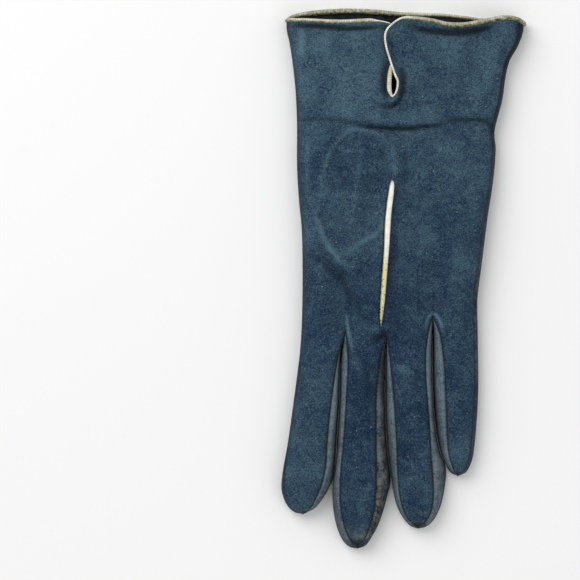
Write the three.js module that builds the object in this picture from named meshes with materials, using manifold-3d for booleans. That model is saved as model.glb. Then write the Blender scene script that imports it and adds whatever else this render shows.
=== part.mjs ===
// A wrist length dress glove of thin suede, for the left hand, lying back up on a flat surface.
// Millimetres, +Z up. The cuff is at +Y, the fingertips at -Y and the little finger at +X.
// Across is measured from the middle of the palm, along from the cuff line towards the fingers.
import * as THREE from "three";
import { mergeVertices } from "three/addons/utils/BufferGeometryUtils.js";
import Module from "manifold-3d";

const wasm = await Module();
wasm.setup();

// Leather and seams
const wall = 1.2;
const clearance = 0.3;

// Hand
const palmWidth = 79.2;
const handLength = 136;
const handHeight = 15;
const sideHeight = 3.4;
const flatShare = 0.75;
const creaseDepth = 1.1;
const backSquareness = 6;
const backRoundness = 0.4;
const cuffBackShare = 0.8;
const palmShare = 0.45;

// Fingers, each from the foot of the palm to its tip
const indexLength = 86.6;
const middleLength = 102.2;
const ringLength = 93.2;
const littleLength = 70;
const fingerHeight = 12.6;
const rootOverlap = 4;
const footOverlap = 2.1;
const lowerSeam = 0.27;
const upperSeam = 0.9;
const palmCorner = 0.16;
const stripTaper = 0.7;
const stripTaperFrom = 0.78;

// Thumb, folded flat under the palm
const thumbStart = 51;
const thumbLength = 76;
const thumbWidth = 26;
const thumbHeight = 4.4;
const thumbAcross = -15;
const thumbHoleLength = 48;
const thumbHoleWidth = 18;
const thumbHoleBack = 3.6;
const drape = 7;
const drapeMargin = 4.2;
const printShare = 0.2;

// Cuff mouth and wrist vent
const mouthLip = 5;
const bindingWidth = 2.5;
const bindingThickness = 2.3;
const ventLength = 33.5;
const ventGap = 0.5;
const lipRound = 1.325;
const lipRoom = 3.3;

// Long slit on the back and the strip behind it
const slitStart = 71.5;
const slitLength = 63;
const slitWidth = 2;
const insetMargin = 2.2;
const insetGap = 0.48;
const slitBlunt = 0.12;
const slitFullness = 0.6;

// Split of the trank into its back and its palm, at the height of the side folds and round the thumb
const splitMargin = 10.5;

// Steps round the sections
const handSteps = 24;
const thumbSteps = 8;
const holeSteps = 28;
const slitSteps = 14;
const insetSteps = 12;
const ventSteps = 10;
const footSteps = 6;
const bindingSides = 8;

// Hand sections: along as a share of handLength, edges of palmWidth, height of handHeight.
const handTable = [
  { along: 0, left: -0.597, right: 0.767, height: 0.87 },
  { along: 0.066, left: -0.577, right: 0.747, height: 0.865 },
  { along: 0.132, left: -0.56, right: 0.685, height: 0.86 },
  { along: 0.215, left: -0.541, right: 0.659, height: 0.855 },
  { along: 0.28, left: -0.535, right: 0.636, height: 0.855 },
  { along: 0.32, left: -0.532, right: 0.615, height: 0.86 },
  { along: 0.345, left: -0.531, right: 0.602, height: 0.865 },
  { along: 0.37, left: -0.531, right: 0.6, height: 0.885 },
  { along: 0.42, left: -0.531, right: 0.608, height: 0.92 },
  { along: 0.505, left: -0.531, right: 0.597, height: 0.97 },
  { along: 0.6, left: -0.52, right: 0.577, height: 1 },
  { along: 0.695, left: -0.506, right: 0.554, height: 1 },
  { along: 0.795, left: -0.5, right: 0.531, height: 0.98 },
  { along: 0.88, left: -0.499, right: 0.512, height: 0.94 },
  { along: 0.95, left: -0.5, right: 0.505, height: 0.9 },
  { along: 1, left: -0.503, right: 0.502, height: 0.87 },
];

// Cuff edge: across as a share of palmWidth, how far each layer stands past the cuff line of mouthLip.
const edgeTable = [
  { across: -0.6, back: 0.05, palm: 0.15 },
  { across: -0.51, back: -0.05, palm: 0.6 },
  { across: -0.38, back: -0.15, palm: 0.8 },
  { across: -0.225, back: -0.2, palm: 0.92 },
  { across: -0.075, back: -0.15, palm: 0.8 },
  { across: 0.08, back: 0.1, palm: 0.62 },
  { across: 0.23, back: -0.1, palm: 0.6 },
  { across: 0.33, back: -0.42, palm: 0.5 },
  { across: 0.43, back: -0.42, palm: 0.32 },
  { across: 0.53, back: -0.1, palm: 0.15 },
  { across: 0.64, back: 0.2, palm: 0.2 },
  { across: 0.73, back: 0.1, palm: 0.1 },
  { across: 0.77, back: -0.3, palm: -0.3 },
];

// Crease across the wrist: along as a share of handLength, depth of creaseDepth.
const creaseTable = [
  { along: 0.28, depth: 0 },
  { along: 0.32, depth: 0.45 },
  { along: 0.345, depth: 1 },
  { along: 0.37, depth: 0.45 },
  { along: 0.42, depth: 0 },
];

// Finger sections: along as a share of the finger, the rest of palmWidth and fingerHeight.
// Left and right are the widest points, seamLeft and seamRight the edges of the back panel.
const indexTable = [
  { along: 0, left: -0.503, seamLeft: -0.465, seamRight: -0.227, right: -0.216, height: 1 },
  { along: 0.09, left: -0.51, seamLeft: -0.47, seamRight: -0.267, right: -0.256, height: 1 },
  { along: 0.155, left: -0.514, seamLeft: -0.475, seamRight: -0.29, right: -0.278, height: 1 },
  { along: 0.2, left: -0.517, seamLeft: -0.48, seamRight: -0.301, right: -0.29, height: 1 },
  { along: 0.405, left: -0.545, seamLeft: -0.505, seamRight: -0.335, right: -0.294, height: 0.98 },
  { along: 0.56, left: -0.568, seamLeft: -0.53, seamRight: -0.352, right: -0.305, height: 0.97 },
  { along: 0.69, left: -0.595, seamLeft: -0.555, seamRight: -0.364, right: -0.312, height: 0.96 },
  { along: 0.77, left: -0.608, seamLeft: -0.57, seamRight: -0.369, right: -0.321, height: 0.94 },
  { along: 0.845, left: -0.616, seamLeft: -0.575, seamRight: -0.389, right: -0.335, height: 0.9 },
  { along: 0.91, left: -0.602, seamLeft: -0.562, seamRight: -0.412, right: -0.369, height: 0.82 },
  { along: 0.96, left: -0.571, seamLeft: -0.54, seamRight: -0.443, right: -0.418, height: 0.68 },
  { along: 1, left: -0.523, seamLeft: -0.51, seamRight: -0.477, right: -0.466, height: 0.45 },
];
const middleTable = [
  { along: 0, left: -0.295, seamLeft: -0.284, seamRight: 0, right: 0.011, height: 1 },
  { along: 0.045, left: -0.284, seamLeft: -0.256, seamRight: -0.034, right: -0.006, height: 1 },
  { along: 0.1, left: -0.273, seamLeft: -0.244, seamRight: -0.048, right: -0.028, height: 1 },
  { along: 0.165, left: -0.277, seamLeft: -0.239, seamRight: -0.062, right: -0.034, height: 1 },
  { along: 0.345, left: -0.283, seamLeft: -0.245, seamRight: -0.08, right: -0.034, height: 1 },
  { along: 0.5, left: -0.295, seamLeft: -0.261, seamRight: -0.08, right: -0.026, height: 0.99 },
  { along: 0.65, left: -0.312, seamLeft: -0.277, seamRight: -0.08, right: -0.006, height: 0.98 },
  { along: 0.71, left: -0.321, seamLeft: -0.281, seamRight: -0.082, right: 0, height: 0.97 },
  { along: 0.785, left: -0.323, seamLeft: -0.284, seamRight: -0.091, right: -0.014, height: 0.94 },
  { along: 0.87, left: -0.301, seamLeft: -0.264, seamRight: -0.114, right: -0.057, height: 0.88 },
  { along: 0.94, left: -0.264, seamLeft: -0.239, seamRight: -0.148, right: -0.099, height: 0.72 },
  { along: 1, left: -0.216, seamLeft: -0.205, seamRight: -0.17, right: -0.159, height: 0.45 },
];
const ringTable = [
  { along: 0, left: -0.034, seamLeft: -0.023, seamRight: 0.25, right: 0.267, height: 1 },
  { along: 0.05, left: -0.023, seamLeft: -0.006, seamRight: 0.222, right: 0.239, height: 1 },
  { along: 0.11, left: -0.016, seamLeft: 0.003, seamRight: 0.205, right: 0.239, height: 1 },
  { along: 0.25, left: -0.018, seamLeft: 0.006, seamRight: 0.202, right: 0.239, height: 1 },
  { along: 0.375, left: -0.022, seamLeft: 0.02, seamRight: 0.21, right: 0.244, height: 1 },
  { along: 0.55, left: -0.011, seamLeft: 0.035, seamRight: 0.227, right: 0.27, height: 0.99 },
  { along: 0.715, left: 0.007, seamLeft: 0.045, seamRight: 0.241, right: 0.318, height: 0.97 },
  { along: 0.785, left: 0.017, seamLeft: 0.05, seamRight: 0.244, right: 0.31, height: 0.95 },
  { along: 0.86, left: 0.037, seamLeft: 0.06, seamRight: 0.244, right: 0.295, height: 0.89 },
  { along: 0.93, left: 0.065, seamLeft: 0.091, seamRight: 0.227, right: 0.264, height: 0.76 },
  { along: 0.97, left: 0.097, seamLeft: 0.119, seamRight: 0.207, right: 0.236, height: 0.62 },
  { along: 1, left: 0.131, seamLeft: 0.142, seamRight: 0.188, right: 0.199, height: 0.45 },
];
const littleTable = [
  { along: 0, left: 0.227, seamLeft: 0.244, seamRight: 0.462, right: 0.502, height: 0.98 },
  { along: 0.05, left: 0.25, seamLeft: 0.267, seamRight: 0.462, right: 0.502, height: 0.98 },
  { along: 0.14, left: 0.25, seamLeft: 0.293, seamRight: 0.463, right: 0.503, height: 0.98 },
  { along: 0.335, left: 0.251, seamLeft: 0.311, seamRight: 0.466, right: 0.506, height: 0.97 },
  { along: 0.5, left: 0.257, seamLeft: 0.318, seamRight: 0.465, right: 0.505, height: 0.95 },
  { along: 0.66, left: 0.273, seamLeft: 0.324, seamRight: 0.455, right: 0.495, height: 0.92 },
  { along: 0.815, left: 0.295, seamLeft: 0.331, seamRight: 0.442, right: 0.482, height: 0.86 },
  { along: 0.9, left: 0.321, seamLeft: 0.347, seamRight: 0.43, right: 0.466, height: 0.78 },
  { along: 0.965, left: 0.347, seamLeft: 0.369, seamRight: 0.413, right: 0.44, height: 0.63 },
  { along: 1, left: 0.375, seamLeft: 0.384, seamRight: 0.405, right: 0.415, height: 0.45 },
];

// Back panel of a finger: across as a share of its width between the seams, rise of the height.
const panelTable = [
  { across: 0.17, rise: 0.955 },
  { across: 0.38, rise: 0.995 },
  { across: 0.62, rise: 0.995 },
  { across: 0.83, rise: 0.955 },
];

// Side strip: across as a share of the way from the widest point to the seam, rise of the height.
const stripTable = [
  { across: 0.3, rise: 0.55 },
  { across: 0.65, rise: 0.75 },
];

// Thumb sections: along as a share of thumbLength, middle and width of thumbWidth, height of its own.
const thumbTable = [
  { along: 0, middle: 0, width: 0.34, height: 0.8 },
  { along: 0.04, middle: 0, width: 0.66, height: 0.95 },
  { along: 0.115, middle: 0, width: 0.9, height: 1 },
  { along: 0.25, middle: 0, width: 1, height: 1 },
  { along: 0.435, middle: 0.02, width: 1, height: 1 },
  { along: 0.62, middle: 0.12, width: 0.95, height: 1 },
  { along: 0.785, middle: 0.27, width: 0.8, height: 1 },
  { along: 0.89, middle: 0.4, width: 0.6, height: 0.97 },
  { along: 0.96, middle: 0.48, width: 0.38, height: 0.9 },
  { along: 1, middle: 0.52, width: 0.2, height: 0.8 },
];

// Middle lines of the wrist vent and the long slit: along as a share of each, across of palmWidth.
const ventTable = [
  { along: 0, across: -0.02 },
  { along: 0.3, across: -0.02 },
  { along: 0.65, across: 0.003 },
  { along: 1, across: 0.017 },
];
const slitTable = [
  { along: 0, across: 0.011 },
  { along: 0.25, across: -0.011 },
  { along: 0.5, across: -0.023 },
  { along: 0.75, across: -0.038 },
  { along: 1, across: -0.048 },
];

// Fingers: where the side strips start and end, as shares of the finger, 0 where a side has none.
const fingers = [
  { name: "index", table: indexTable, length: indexLength, strips: [
    { node: "fourchette_index", side: "right", from: 0.22, to: 0.94 }] },
  { name: "middle", table: middleTable, length: middleLength, strips: [
    { node: "fourchette_middle_left", side: "left", from: 0.17, to: 0.93 },
    { node: "fourchette_middle_right", side: "right", from: 0.12, to: 0.93 }] },
  { name: "ring", table: ringTable, length: ringLength, strips: [
    { node: "fourchette_ring_left", side: "left", from: 0.13, to: 0.93 },
    { node: "fourchette_ring_right", side: "right", from: 0.11, to: 0.93 }] },
  { name: "little", table: littleTable, length: littleLength, strips: [
    { node: "fourchette_little", side: "left", from: 0.14, to: 0.93 }] },
];

// Value of one column of a table where its key column has the given share, straight between rows.
function read(table, key, share, column) {
  const last = table.length - 1;
  let i = 0;
  while (i < last - 1 && table[i + 1][key] < share) i += 1;
  const low = table[i];
  const high = table[i + 1];
  const part = THREE.MathUtils.clamp((share - low[key]) / (high[key] - low[key]), 0, 1);
  return THREE.MathUtils.lerp(low[column], high[column], part);
}

// How high the thumb's pouch lifts the leather that lies over it, eased out over the drape.
function lift(across, along) {
  const share = THREE.MathUtils.clamp((along - thumbStart) / thumbLength, 0, 1);
  const middle = thumbAcross + thumbWidth * read(thumbTable, "along", share, "middle");
  const half = thumbWidth * read(thumbTable, "along", share, "width") / 2;
  const beside = Math.max(Math.abs(across - middle) - half, 0);
  const beyond = Math.max(thumbStart - along, along - thumbStart - thumbLength, 0);
  const away = Math.hypot(beside, beyond) - drapeMargin;
  return (thumbHeight + clearance) * (1 - THREE.MathUtils.smoothstep(away, 0, drape));
}

// Height of the back's outer face: flat across the middle, round at the two edges.
function backHeight(across, along) {
  const share = along / handLength;
  const left = palmWidth * read(handTable, "along", share, "left");
  const right = palmWidth * read(handTable, "along", share, "right");
  const reach = Math.min(Math.abs((2 * across - left - right) / (right - left)), 1);
  const crease = creaseDepth * read(creaseTable, "along", share, "depth") * (1 - reach ** 8);
  const full = handHeight * read(handTable, "along", share, "height") + printShare * lift(across, along);
  const crown = (1 - reach ** backSquareness) ** backRoundness;
  return sideHeight + (full - crease - sideHeight) * crown;
}

// Edge of the leather at the cuff: how far it stands past the cuff line.
function cuffEdge(across, share) {
  const palm = read(edgeTable, "across", across / palmWidth, "palm");
  const back = read(edgeTable, "across", across / palmWidth, "back");
  return mouthLip * THREE.MathUtils.lerp(palm, back, share);
}

// How much a point of the cuff belongs to the back, from its height.
function backShare(height) {
  return THREE.MathUtils.smoothstep(height, wall, handHeight * handTable[0].height * cuffBackShare);
}

// One ring round the hand: over the back from left to right, then under the palm.
function handRing(along, inset) {
  const share = along / handLength;
  const left = palmWidth * read(handTable, "along", share, "left");
  const right = palmWidth * read(handTable, "along", share, "right");
  const middle = (left + right) / 2;
  const half = (right - left) / 2;
  const points = [];
  for (let i = 0; i < 2 * handSteps; i += 1) {
    const over = i < handSteps;
    const turn = Math.PI * (over ? i : i - handSteps) / handSteps;
    const reach = over ? -Math.cos(turn) : Math.cos(turn);
    const across = middle + half * reach;
    const curl = Math.max(Math.abs(reach) - flatShare, 0) / (1 - flatShare);
    const under = sideHeight * (1 - Math.sqrt(1 - curl ** 3)) + lift(across, along);
    const height = over ? backHeight(across, along) : Math.min(under, backHeight(across, along));
    const drop = over ? -inset * Math.sin(turn) ** 0.3 : inset * Math.sin(turn) ** 0.3;
    points.push(new THREE.Vector3(middle + (half - inset) * reach, -along, height + drop));
  }
  return points;
}

// One ring round a finger: over its back panel from left to right, then under it.
// Places 0 to 3 are the left side strip and 8 to 11 the right one.
function fingerRing(finger, share, inset) {
  const { table, length } = finger;
  const widest = Math.max(...table.map((row) => row.right - row.left)) * palmWidth;
  const edge = (column) => palmWidth * read(table, "along", share, column);
  const left = edge("left");
  const right = edge("right");
  const middle = (left + right) / 2;
  const shrink = 1 - 2 * inset / widest;
  const height = fingerHeight * read(table, "along", share, "height");
  const corner = (right - left) * palmCorner;
  const seamLeft = edge("seamLeft");
  const seamRight = edge("seamRight");
  const lerp = THREE.MathUtils.lerp;
  const leftStrip = stripTable.map((row) => [lerp(left, seamLeft, row.across), row.rise]);
  const rightStrip = stripTable.map((row) => [lerp(right, seamRight, row.across), row.rise]);
  const outline = [
    [left, lowerSeam], ...leftStrip, [seamLeft, upperSeam],
    ...panelTable.map((row) => [lerp(seamLeft, seamRight, row.across), row.rise]),
    [seamRight, upperSeam], ...rightStrip.reverse(), [right, lowerSeam],
    [right - corner / 4, 0.12], [right - corner, 0], [left + corner, 0], [left + corner / 4, 0.12],
  ];
  const along = share < 0 ? handLength + share * length : handLength + share * (length - inset);
  return outline.map(([across, rise]) => {
    const z = inset + rise * (height - 2 * inset);
    const raise = lift(across, along) * (1 - rise);
    return new THREE.Vector3(middle + (across - middle) * shrink, -along, z + raise);
  });
}

// Shares along a finger at which it has rings, between two ends.
function stations(table, from, to) {
  const inner = table.map((row) => row.along).filter((share) => share > from + 0.01 && share < to - 0.01);
  return [from, ...inner, to];
}

function loftOf(rings, closed) {
  const count = rings[0].length;
  const places = rings.flat().flatMap((point) => point.toArray());
  const faces = [];
  const spans = closed ? rings.length : rings.length - 1;
  for (let r = 0; r < spans; r += 1) {
    const next = (r + 1) % rings.length;
    for (let i = 0; i < count; i += 1) {
      const j = (i + 1) % count;
      faces.push(r * count + i, next * count + i, next * count + j);
      faces.push(r * count + i, next * count + j, r * count + j);
    }
  }
  if (!closed) {
    for (const [ring, start, turned] of [[rings[0], 0, true], [rings.at(-1), spans * count, false]]) {
      const centre = ring.reduce((sum, point) => sum.add(point), new THREE.Vector3()).divideScalar(count);
      const hub = places.length / 3;
      places.push(...centre.toArray());
      for (let i = 0; i < count; i += 1) {
        const a = start + i;
        const b = start + (i + 1) % count;
        faces.push(hub, turned ? a : b, turned ? b : a);
      }
    }
  }
  const geometry = new THREE.BufferGeometry();
  geometry.setAttribute("position", new THREE.Float32BufferAttribute(places, 3));
  geometry.setIndex(volumeOf(places, faces) > 0 ? faces : faces.reverse());
  return geometry;
}

function volumeOf(places, faces) {
  const corner = (index) => new THREE.Vector3().fromArray(places, 3 * index);
  let sum = 0;
  for (let i = 0; i < faces.length; i += 3) {
    sum += corner(faces[i]).dot(corner(faces[i + 1]).cross(corner(faces[i + 2])));
  }
  return sum;
}

// Solids for joining and cutting, and back to a geometry
function solid(geometry) {
  const bare = geometry.clone();
  bare.deleteAttribute("normal");
  bare.deleteAttribute("uv");
  const merged = mergeVertices(bare, 1e-4);
  return new wasm.Manifold(new wasm.Mesh({
    numProp: 3,
    vertProperties: new Float32Array(merged.attributes.position.array),
    triVerts: new Uint32Array(merged.index.array),
  }));
}

function geometryOf(body) {
  const cut = body.getMesh();
  const geometry = new THREE.BufferGeometry();
  geometry.setAttribute("position", new THREE.Float32BufferAttribute(cut.vertProperties, 3));
  geometry.setIndex([...cut.triVerts]);
  return geometry;
}

// Upright cutter from an outline seen from above, between two heights
function upright(outline, low, high) {
  const shape = new THREE.Shape(outline.map(([x, y]) => new THREE.Vector2(x, y)));
  const geometry = new THREE.ExtrudeGeometry(shape, { depth: high - low, bevelEnabled: false });
  return solid(geometry.translate(0, 0, low));
}

// Hand with its hollow, open at the cuff
function handSolid(inset, past) {
  const rings = handTable.map((row) => handRing(row.along * handLength, inset));
  const cut = bindingWidth + clearance;
  rings[0].forEach((point) => {
    point.y = cuffEdge(point.x, backShare(point.z)) - cut + past;
  });
  rings.at(-1).forEach((point) => {
    point.y += inset - footOverlap;
  });
  const rim = handRing(0, inset + 2 * wall);
  rim.forEach((point, i) => point.setY(rings[0][i].y));
  rings.unshift(rim);
  return solid(loftOf(rings, false));
}

function fingerSolid(finger, inset) {
  const ends = stations(finger.table, 0, 1);
  const rings = [-rootOverlap / finger.length, ...ends].map((share) => fingerRing(finger, share, inset));
  return solid(loftOf(rings, false));
}

// Side strip of a finger as a cutter: the wall between its two seams, narrowing to the tip.
function stripSolid(finger, strip, grow) {
  const places = strip.side === "left" ? [0, 1, 2, 3] : [11, 10, 9, 8];
  const out = strip.side === "left" ? -1 : 1;
  const ends = stations(finger.table, strip.from - grow / finger.length, strip.to + grow / finger.length);
  const rings = ends.map((share) => {
    const ring = fingerRing(finger, share, 0);
    const seam = ring[places[3]];
    const narrow = stripTaper * THREE.MathUtils.smoothstep(share, stripTaperFrom, strip.to);
    const face = places.map((place) => ring[place].clone().lerp(seam, narrow));
    const rise = seam.clone().sub(face[0]).normalize();
    const outward = new THREE.Vector3(out * Math.abs(rise.z), 0, -out * rise.x * Math.sign(rise.z));
    face[0].addScaledVector(rise, -grow);
    face[3].addScaledVector(rise, grow);
    const outer = face.map((point) => point.clone().addScaledVector(outward, 1.5 * clearance + 0.5 * grow));
    const inner = face.map((point) => point.clone().addScaledVector(outward, -2 * wall - grow));
    return [...outer, ...inner.reverse()];
  });
  return solid(loftOf(rings, false));
}

// Thumb: a flat pouch with rounded edges, resting on its underside.
function thumbRing(row, inset) {
  const middle = thumbAcross + thumbWidth * row.middle;
  const half = thumbWidth * row.width / 2 * (1 - 2 * inset / thumbWidth);
  const low = inset;
  const high = thumbHeight * row.height - inset;
  const along = thumbStart + inset + row.along * (thumbLength - 2 * inset);
  const points = [];
  for (let i = 0; i < 2 * thumbSteps; i += 1) {
    const over = i < thumbSteps;
    const turn = Math.PI * (over ? i : i - thumbSteps) / thumbSteps;
    const reach = over ? -Math.cos(turn) : Math.cos(turn);
    const bow = Math.sqrt(1 - Math.abs(reach) ** (over ? 4 : 10));
    const z = (low + high) / 2 + (over ? 1 : -1) * (high - low) / 2 * bow;
    points.push(new THREE.Vector3(middle + half * reach, -along, z));
  }
  return points;
}

function thumbSolid(inset) {
  return solid(loftOf(thumbTable.map((row) => thumbRing(row, inset)), false));
}

// Thumb hole: an oval through the palm and the pouch's upper side
function thumbHole() {
  const outline = [];
  const centreAlong = thumbStart + thumbHoleLength / 2 + thumbHoleBack;
  for (let i = 0; i < holeSteps; i += 1) {
    const turn = 2 * Math.PI * i / holeSteps;
    const x = thumbAcross + thumbHoleWidth / 2 * Math.cos(turn);
    outline.push([x, -centreAlong + thumbHoleLength / 2 * Math.sin(turn)]);
  }
  return upright(outline, thumbHeight / 2, thumbHeight + clearance + 2 * wall);
}

// Space over the thumb that belongs to the palm, which drapes over the pouch there
function thumbSpace(grow) {
  const reach = splitMargin + grow;
  const first = thumbTable[0];
  const last = thumbTable.at(-1);
  const past = reach / thumbLength;
  const rows = [{ ...first, along: -past }, ...thumbTable, { ...last, along: 1 + past }];
  const side = (out) => rows.map((row) => [
    thumbAcross + thumbWidth * row.middle + out * (thumbWidth * row.width / 2 + reach),
    -(thumbStart + row.along * thumbLength),
  ]);
  return upright([...side(-1), ...side(1).reverse()], -2 * wall, handHeight * palmShare + grow);
}

// Block wider than the glove between two heights
function blockBetween(low, high) {
  const wide = 2 * (handLength + middleLength);
  const block = new THREE.BoxGeometry(wide, 2 * wide, high - low);
  return solid(block.translate(0, 0, (low + high) / 2));
}

// Vent: its middle line and outline at a given half width, with a round foot
const ventHalf = ventGap / 2 + bindingWidth + clearance;

function ventMiddle(along) {
  return palmWidth * read(ventTable, "along", along / ventLength, "across");
}

function ventOutline(halfWidth, top, steps) {
  const left = [];
  const right = [];
  const foot = ventLength - ventHalf;
  for (let i = 0; i <= steps; i += 1) {
    const along = THREE.MathUtils.lerp(-top, foot, i / steps);
    left.push([ventMiddle(Math.max(along, 0)) - halfWidth, -along]);
    right.push([ventMiddle(Math.max(along, 0)) + halfWidth, -along]);
  }
  const round = [];
  for (let i = 1; i < footSteps; i += 1) {
    const turn = Math.PI * (1 + i / footSteps);
    round.push([ventMiddle(foot) + halfWidth * Math.cos(turn), -foot + halfWidth * Math.sin(turn)]);
  }
  return [...left, ...round, ...right.reverse()];
}

// Slit: a slender lens along its middle line
function slitLens(share) {
  return slitWidth * Math.max(Math.sin(Math.PI * share), slitBlunt) ** slitFullness;
}

function slitOutline() {
  const left = [];
  const right = [];
  for (let i = 0; i <= slitSteps; i += 1) {
    const share = i / slitSteps;
    const middle = palmWidth * read(slitTable, "along", share, "across");
    const y = -(slitStart + share * slitLength);
    left.push([middle - slitLens(share) / 2, y]);
    right.push([middle + slitLens(share) / 2, y]);
  }
  return [...left, ...right.reverse()];
}

// Strip behind the slit, following the inner face of the back
function insetSolid() {
  const rings = [];
  for (let i = 0; i <= insetSteps; i += 1) {
    const share = i / insetSteps;
    const along = slitStart + share * slitLength;
    const middle = palmWidth * read(slitTable, "along", share, "across");
    const half = slitLens(share) / 2 + insetMargin * (share === 0 || share === 1 ? 0.5 : 1);
    const places = [-half, 0, half].map((offset) => middle + offset);
    const top = places.map((x) => new THREE.Vector3(x, -along, backHeight(x, along) - wall - insetGap));
    const bottom = top.map((point) => point.clone().setZ(point.z - wall)).reverse();
    rings.push([...top, ...bottom]);
  }
  return loftOf(rings, false);
}

// Middle line of the rolled binding, with the direction square to the leather at each point:
// round the cuff edge from the vent's right lip, and down and up the two edges of the vent.
function bindingPath() {
  const path = [];
  const vent = (bindingWidth + ventGap) / 2;
  const ring = handRing(0, wall / 2);
  const count = ring.length;
  const rim = (x, share) => cuffEdge(x, share) - bindingWidth / 2;
  const onBack = (x, y) => {
    path.push({ at: new THREE.Vector3(x, y, backHeight(x, Math.max(-y, 0)) - wall / 2), out: [0, 1] });
  };
  const rightLip = ventMiddle(0) + vent;
  const leftLip = ventMiddle(0) - vent;
  const start = ring.findIndex((point, i) => i < handSteps && point.x > rightLip + lipRoom);
  for (let k = 0; k < count; k += 1) {
    const i = (start + k) % count;
    const point = ring[i];
    if (i < handSteps && point.x > leftLip - lipRoom && point.x < rightLip + lipRoom) continue;
    const before = ring[(i + count - 1) % count];
    const after = ring[(i + 1) % count];
    const run = Math.hypot(after.x - before.x, after.z - before.z);
    const z = Math.max(point.z, bindingThickness / 2);
    const out = [(before.z - after.z) / run, (after.x - before.x) / run];
    path.push({ at: new THREE.Vector3(point.x, rim(point.x, backShare(point.z)), z), out });
  }
  // Left lip, down the left edge, round the foot, up the right edge, right lip
  const turns = [0, 30, 60, 90].map(THREE.MathUtils.degToRad);
  const leftTop = rim(leftLip - lipRound, 1) - lipRound;
  turns.forEach((turn) => {
    onBack(leftLip - lipRound * (1 - Math.sin(turn)), leftTop + lipRound * Math.cos(turn));
  });
  ventOutline(vent, -lipRoom, ventSteps).forEach(([x, y]) => onBack(x, y));
  const rightTop = rim(rightLip + lipRound, 1) - lipRound;
  turns.reverse().forEach((turn) => {
    onBack(rightLip + lipRound * (1 - Math.sin(turn)), rightTop + lipRound * Math.cos(turn));
  });
  return path;
}

function bindingGeometry() {
  const path = bindingPath();
  const rings = path.map(({ at, out }, i) => {
    const before = path[(i + path.length - 1) % path.length].at;
    const after = path[(i + 1) % path.length].at;
    const ahead = after.clone().sub(before).normalize();
    const square = new THREE.Vector3(out[0], 0, out[1]);
    const beside = new THREE.Vector3().crossVectors(ahead, square).normalize();
    const points = [];
    for (let k = 0; k < bindingSides; k += 1) {
      const turn = 2 * Math.PI * (k + 0.5) / bindingSides;
      points.push(at.clone()
        .addScaledVector(beside, bindingWidth / 2 * Math.cos(turn))
        .addScaledVector(square, bindingThickness / 2 * Math.sin(turn)));
    }
    return points;
  });
  return loftOf(rings, true);
}

// Suede in navy, a greyer navy for the side strips, and cream leather for the trim
const navy = 0x30475a;
const navyGrey = 0x49585f;
const cream = 0xe3dfc0;

function leather(name, geometry, colour) {
  const faceted = geometry.toNonIndexed();
  faceted.computeVertexNormals();
  const material = new THREE.MeshStandardMaterial({ color: colour, roughness: 0.85, metalness: 0 });
  const mesh = new THREE.Mesh(faceted, material);
  mesh.name = name;
  return mesh;
}

const glove = new THREE.Group();

const middleHeight = handHeight * palmShare;
const above = handHeight + 3 * wall;
const outside = fingers.reduce((sum, finger) => sum.add(fingerSolid(finger, 0)), handSolid(0, 0));
const hollow = fingers.reduce((sum, finger) => sum.add(fingerSolid(finger, wall)), handSolid(wall, 3 * wall));
const vent = upright(ventOutline(ventHalf, mouthLip + bindingWidth, ventSteps), middleHeight, above);
const slit = upright(slitOutline(), middleHeight, above);
const shell = outside.subtract(hollow);

let trank = shell.subtract(vent).subtract(slit).subtract(thumbHole());
for (const finger of fingers) {
  for (const strip of finger.strips) {
    const piece = shell.intersect(stripSolid(finger, strip, 0));
    glove.add(leather(strip.node, geometryOf(piece), navyGrey));
    trank = trank.subtract(stripSolid(finger, strip, clearance));
  }
}
const backSpace = blockBetween(sideHeight + clearance / 2, above).subtract(thumbSpace(clearance / 2));
const palmSpace = blockBetween(-wall, sideHeight - clearance / 2).add(thumbSpace(-clearance / 2));
glove.add(leather("trank_back", geometryOf(trank.intersect(backSpace)), navy));
glove.add(leather("trank_palm", geometryOf(trank.intersect(palmSpace)), navy));

const thumb = thumbSolid(0).subtract(thumbSolid(wall)).subtract(thumbHole());
glove.add(leather("thumb", geometryOf(thumb), navy));
glove.add(leather("cuff_binding", bindingGeometry(), cream));
glove.add(leather("slit_inset", insetSolid(), cream));

// The glove rests on z = 0, with the middle of its outline at the origin
const box = new THREE.Box3().setFromObject(glove);
const centre = box.getCenter(new THREE.Vector3());
glove.position.set(-centre.x, -centre.y, -box.min.z);

export default glove;
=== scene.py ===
"""A wrist length dress glove of navy suede, for the left hand, lying back up on a pale floor.

Grids hold (across, down, height): the first two in pixels of the photograph, the height in
millimetres above the floor. joined() turns them to metres in the glove's own frame.
"""

import bmesh
import bpy
import numpy as np
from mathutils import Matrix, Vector


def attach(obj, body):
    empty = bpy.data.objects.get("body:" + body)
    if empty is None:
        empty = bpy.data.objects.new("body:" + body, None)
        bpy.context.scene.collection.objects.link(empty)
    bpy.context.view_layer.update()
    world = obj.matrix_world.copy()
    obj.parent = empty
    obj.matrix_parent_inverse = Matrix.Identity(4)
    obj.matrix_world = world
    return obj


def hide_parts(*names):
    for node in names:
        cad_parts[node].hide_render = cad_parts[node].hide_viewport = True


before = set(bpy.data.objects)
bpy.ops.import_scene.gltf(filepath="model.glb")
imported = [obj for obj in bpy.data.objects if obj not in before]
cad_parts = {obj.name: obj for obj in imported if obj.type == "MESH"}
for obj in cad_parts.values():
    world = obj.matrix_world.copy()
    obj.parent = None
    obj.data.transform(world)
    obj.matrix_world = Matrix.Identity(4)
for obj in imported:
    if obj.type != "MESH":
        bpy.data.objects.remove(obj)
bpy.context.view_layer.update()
rng = np.random.default_rng(7)

# Scale of the photograph, and the pixel that lies on the glove's origin
PIXEL = 0.45
ORIGIN_X = 403.8
ORIGIN_Y = 279.78
PHOTO_SIZE = 580

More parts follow.
